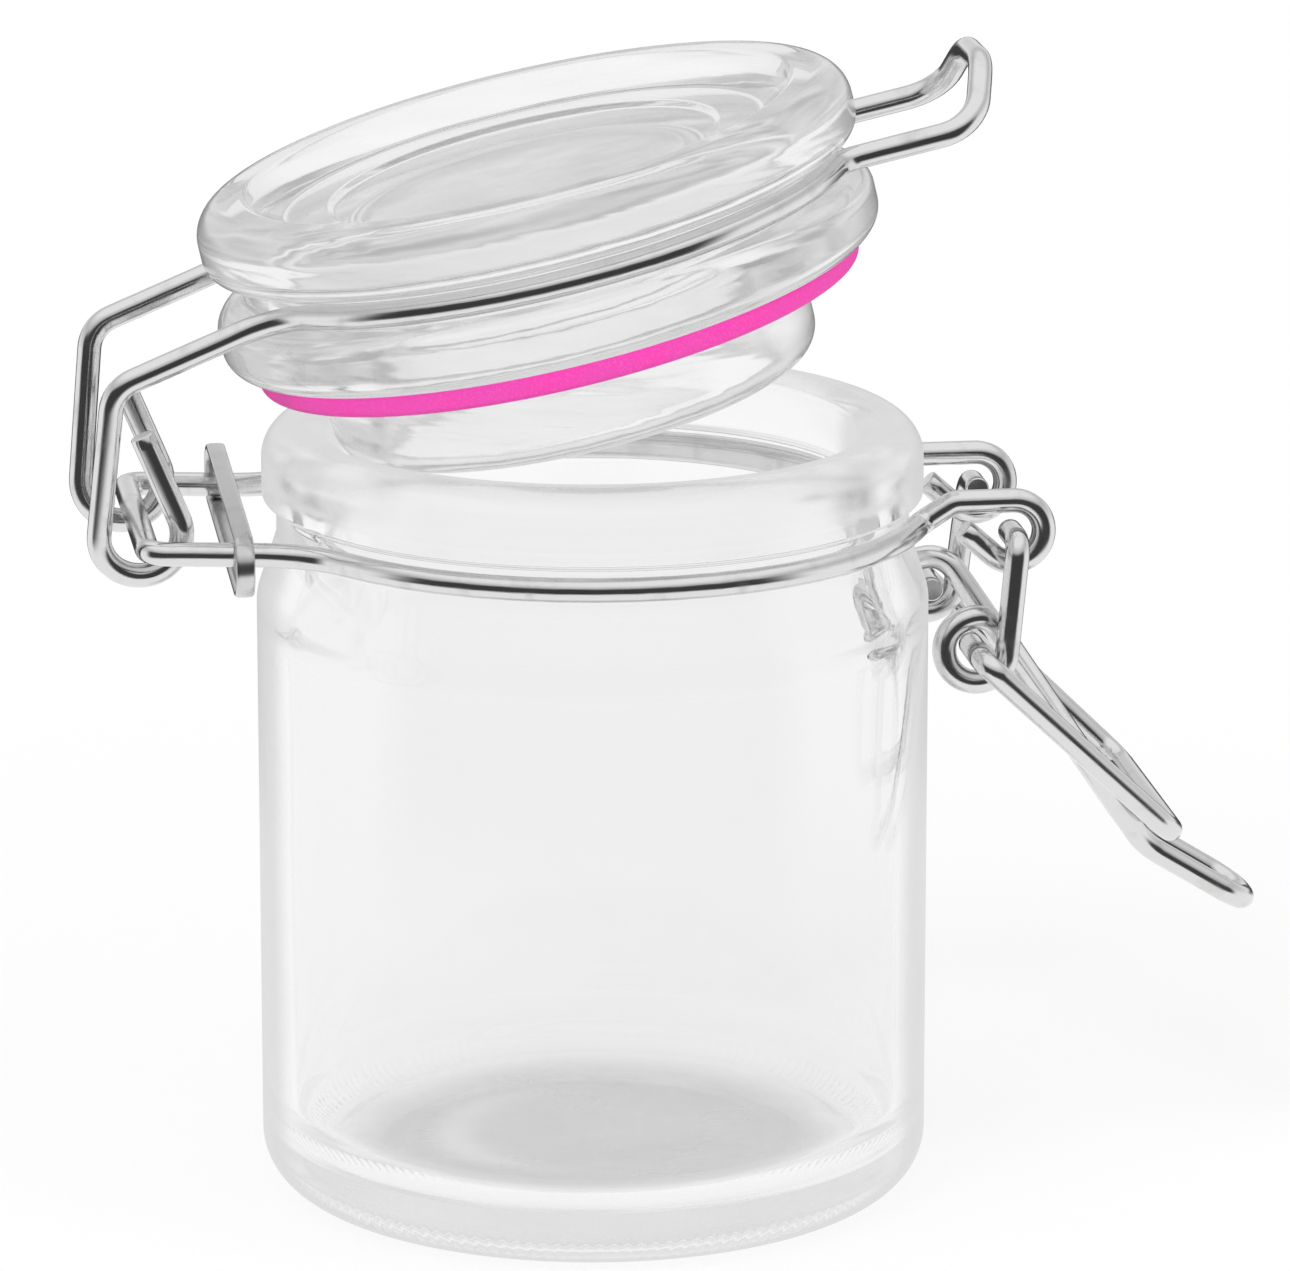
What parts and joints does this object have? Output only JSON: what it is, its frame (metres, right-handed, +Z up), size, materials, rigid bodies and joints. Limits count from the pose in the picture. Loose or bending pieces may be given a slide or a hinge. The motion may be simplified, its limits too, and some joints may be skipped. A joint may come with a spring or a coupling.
{
  "type": "bail clamp jar",
  "caption": "Small clear glass storage jar with a hinged glass lid, a pink rubber sealing ring and a bent-wire bail clamp, standing with the lid unclamped and tipped open.",
  "frame": {"origin": "middle of the jar's foot, on the surface it stands on", "axes": "+Z up along the jar's axis, +X towards the clamp lever at the front, hinge axes along Y"},
  "size_m": [0.0995, 0.0568, 0.0964],
  "materials": {
    "jar_glass": "clear polished",
    "lid_glass": "clear polished",
    "gasket_rubber": "satin",
    "wire_steel": "bright drawn wire",
    "clip_steel": "satin strip"
  },
  "bodies": {
    "jar": {"jar": "jar_glass", "neck_wire": "wire_steel", "cinch_clip": "clip_steel"},
    "lid": {"lid": "lid_glass", "gasket": "gasket_rubber", "lid_wire": "wire_steel"},
    "lever": {"lever": "wire_steel"},
    "clamp_loop": {"clamp_loop": "wire_steel"}
  },
  "joints": [
    {"name": "lid_hinge", "type": "hinge", "parent": "jar", "child": "lid", "pos_m": [-0.038, 0, 0.0583], "axis": [0, -1, 0], "range_deg": [-13, 167]},
    {"name": "lever_pivot", "type": "hinge", "parent": "jar", "child": "lever", "pos_m": [0.0339, 0, 0.0566], "axis": [0, -1, 0], "range_deg": [0, 106]},
    {"name": "loop_pivot", "type": "hinge", "parent": "lever", "child": "clamp_loop", "pos_m": [0.03036, 0, 0.0475], "axis": [0, -1, 0], "range_deg": [0, 52]}
  ]
}
